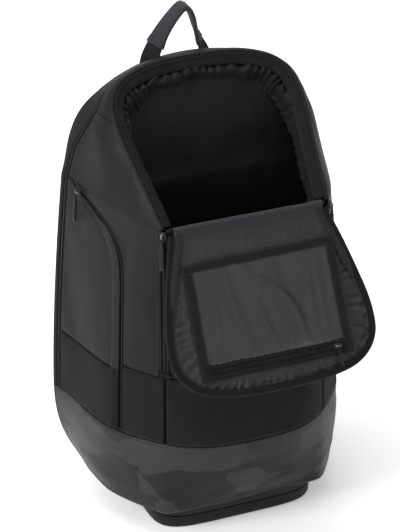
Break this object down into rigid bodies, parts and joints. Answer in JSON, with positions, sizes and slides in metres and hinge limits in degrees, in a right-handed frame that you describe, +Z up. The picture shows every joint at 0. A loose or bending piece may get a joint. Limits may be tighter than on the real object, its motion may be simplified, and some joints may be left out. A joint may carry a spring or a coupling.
{
  "type": "racket backpack",
  "caption": "Tall racket backpack with an arched racket compartment, its unzipped flap hanging forward, side pockets, webbing grab handle, padded straps and a moulded base.",
  "frame": {"origin": "middle of the underside of the base, on the surface that the bag stands on", "axes": "+Z up, -Y towards the racket compartment and its flap, +Y towards the wearer's back, +X to the right seen from the front"},
  "size_m": [0.3556, 0.3599, 0.6049],
  "materials": {
    "tray_plastic": "black moulded base, fine grain",
    "matte_fabric": "black matte polyester weave",
    "board": "black stiffener board",
    "band_satin": "dark grey satin with tonal patches",
    "coated_fabric": "charcoal coated fabric, smooth satin",
    "inner_lining": "black lining",
    "spacer_mesh": "black spacer mesh",
    "webbing": "black ribbed webbing",
    "buckle_plastic": "black acetal",
    "zip_tape": "black coil zip and tape",
    "lining_satin": "blue-grey lining with a soft sheen",
    "pocket_film": "fine see-through mesh over the lining",
    "slider_metal": "dark nickel",
    "pull_tab": "black moulded pull",
    "handle_sleeve": "heathered dark grey sleeve"
  },
  "bodies": {
    "bag": {"base_tray": "tray_plastic", "bottom_panel": "matte_fabric", "floor_board": "board", "band_left": "band_satin", "band_right": "band_satin", "band_front": "band_satin", "pocket_lower_left": "matte_fabric", "pocket_lower_right": "matte_fabric", "pocket_upper_left": "coated_fabric", "pocket_upper_right": "coated_fabric", "corner_lower_left": "matte_fabric", "corner_lower_right": "matte_fabric", "corner_upper_left": "coated_fabric", "corner_upper_right": "coated_fabric", "gusset_top": "coated_fabric", "gusset_back": "matte_fabric", "front_upper": "coated_fabric", "front_lower": "matte_fabric", "compartment_divider": "inner_lining", "back_panel": "spacer_mesh", "back_pad_left": "spacer_mesh", "back_pad_right": "spacer_mesh", "lumbar_pad": "spacer_mesh", "strap_yoke": "spacer_mesh", "shoulder_strap_left": "spacer_mesh", "shoulder_strap_right": "spacer_mesh", "strap_webbing_left": "webbing", "strap_webbing_right": "webbing", "ladder_lock_left": "buckle_plastic", "ladder_lock_right": "buckle_plastic", "main_zip": "zip_tape", "pocket_zip_left": "zip_tape", "pocket_zip_right": "zip_tape", "front_zip_left": "zip_tape", "front_zip_right": "zip_tape", "opening_rim": "zip_tape", "fold_binding": "coated_fabric"},
    "flap": {"flap_shell": "coated_fabric", "flap_lining": "lining_satin", "flap_piping": "zip_tape", "pocket_frame": "webbing", "pocket_film": "pocket_film", "pocket_zip": "zip_tape"},
    "pocket_slider": {"pocket_slider": "slider_metal"},
    "pocket_pull": {"pocket_pull": "pull_tab"},
    "handle": {"handle_webbing": "webbing", "handle_sleeve": "handle_sleeve"},
    "front_slider_left": {"front_slider_left": "slider_metal"},
    "front_pull_left": {"front_pull_left": "pull_tab"},
    "front_slider_right": {"front_slider_right": "slider_metal"},
    "front_pull_right": {"front_pull_right": "pull_tab"},
    "side_slider_left": {"side_slider_left": "slider_metal"},
    "side_pull_left": {"side_pull_left": "pull_tab"},
    "side_slider_right": {"side_slider_right": "slider_metal"},
    "side_pull_right": {"side_pull_right": "pull_tab"},
    "main_slider": {"main_slider": "slider_metal"},
    "main_pull": {"main_pull": "pull_tab"},
    "webbing_tail_left": {"webbing_tail_left": "webbing"},
    "webbing_tail_right": {"webbing_tail_right": "webbing"}
  },
  "joints": [
    {"name": "flap_fold", "type": "hinge", "parent": "bag", "child": "flap", "pos_m": [0, -0.087, 0.418], "axis": [1, 0, 0], "range_deg": [-197, 0]},
    {"name": "pocket_slider_slide", "type": "slide", "parent": "flap", "child": "pocket_slider", "axis": [-1, 0, 0], "range_m": [0, 0.145]},
    {"name": "pocket_pull_swing", "type": "hinge", "parent": "pocket_slider", "child": "pocket_pull", "pos_m": [0.074, -0.18125, 0.28425], "axis": [-1, 0, 0], "range_deg": [0, 120]},
    {"name": "handle_fold", "type": "hinge", "parent": "bag", "child": "handle", "pos_m": [0, 0.1055, 0.52], "axis": [1, 0, 0], "range_deg": [-80, 0]},
    {"name": "front_slider_left_slide", "type": "slide", "parent": "bag", "child": "front_slider_left", "axis": [0, 0, -1], "range_m": [0, 0.16]},
    {"name": "front_pull_left_swing", "type": "hinge", "parent": "front_slider_left", "child": "front_pull_left", "pos_m": [-0.10645, -0.08704, 0.412], "axis": [-0.6606, 0.7507, 0], "range_deg": [0, 100]},
    {"name": "front_slider_right_slide", "type": "slide", "parent": "bag", "child": "front_slider_right", "axis": [0, 0, -1], "range_m": [0, 0.16]},
    {"name": "front_pull_right_swing", "type": "hinge", "parent": "front_slider_right", "child": "front_pull_right", "pos_m": [0.10645, -0.08704, 0.412], "axis": [-0.6606, -0.7507, 0], "range_deg": [0, 100]},
    {"name": "side_slider_left_slide", "type": "slide", "parent": "bag", "child": "side_slider_left", "axis": [0.1689, -0.9247, -0.3411], "range_m": [0, 0.024]},
    {"name": "side_pull_left_swing", "type": "hinge", "parent": "side_slider_left", "child": "side_pull_left", "pos_m": [-0.15694, 0.05654, 0.41292], "axis": [-0.2101, 0.9777, 0], "range_deg": [0, 110]},
    {"name": "side_slider_right_slide", "type": "slide", "parent": "bag", "child": "side_slider_right", "axis": [-0.1689, -0.9247, -0.3411], "range_m": [0, 0.024]},
    {"name": "side_pull_right_swing", "type": "hinge", "parent": "side_slider_right", "child": "side_pull_right", "pos_m": [0.15694, 0.05654, 0.41292], "axis": [-0.2101, -0.9777, 0], "range_deg": [0, 110]},
    {"name": "main_slider_slide", "type": "slide", "parent": "bag", "child": "main_slider", "axis": [0.296, 0.3718, -0.8799], "range_m": [0, 0.03]},
    {"name": "main_pull_swing", "type": "hinge", "parent": "main_slider", "child": "main_pull", "pos_m": [0.15038, 0.08084, 0.46555], "axis": [-0.0946, -0.9052, -0.4143], "range_deg": [0, 110]},
    {"name": "webbing_tail_left_swing", "type": "hinge", "parent": "bag", "child": "webbing_tail_left", "pos_m": [-0.0995, 0.139, 0.198], "axis": [1, 0, 0], "range_deg": [0, 70]},
    {"name": "webbing_tail_right_swing", "type": "hinge", "parent": "bag", "child": "webbing_tail_right", "pos_m": [0.0995, 0.139, 0.198], "axis": [1, 0, 0], "range_deg": [0, 70]}
  ]
}
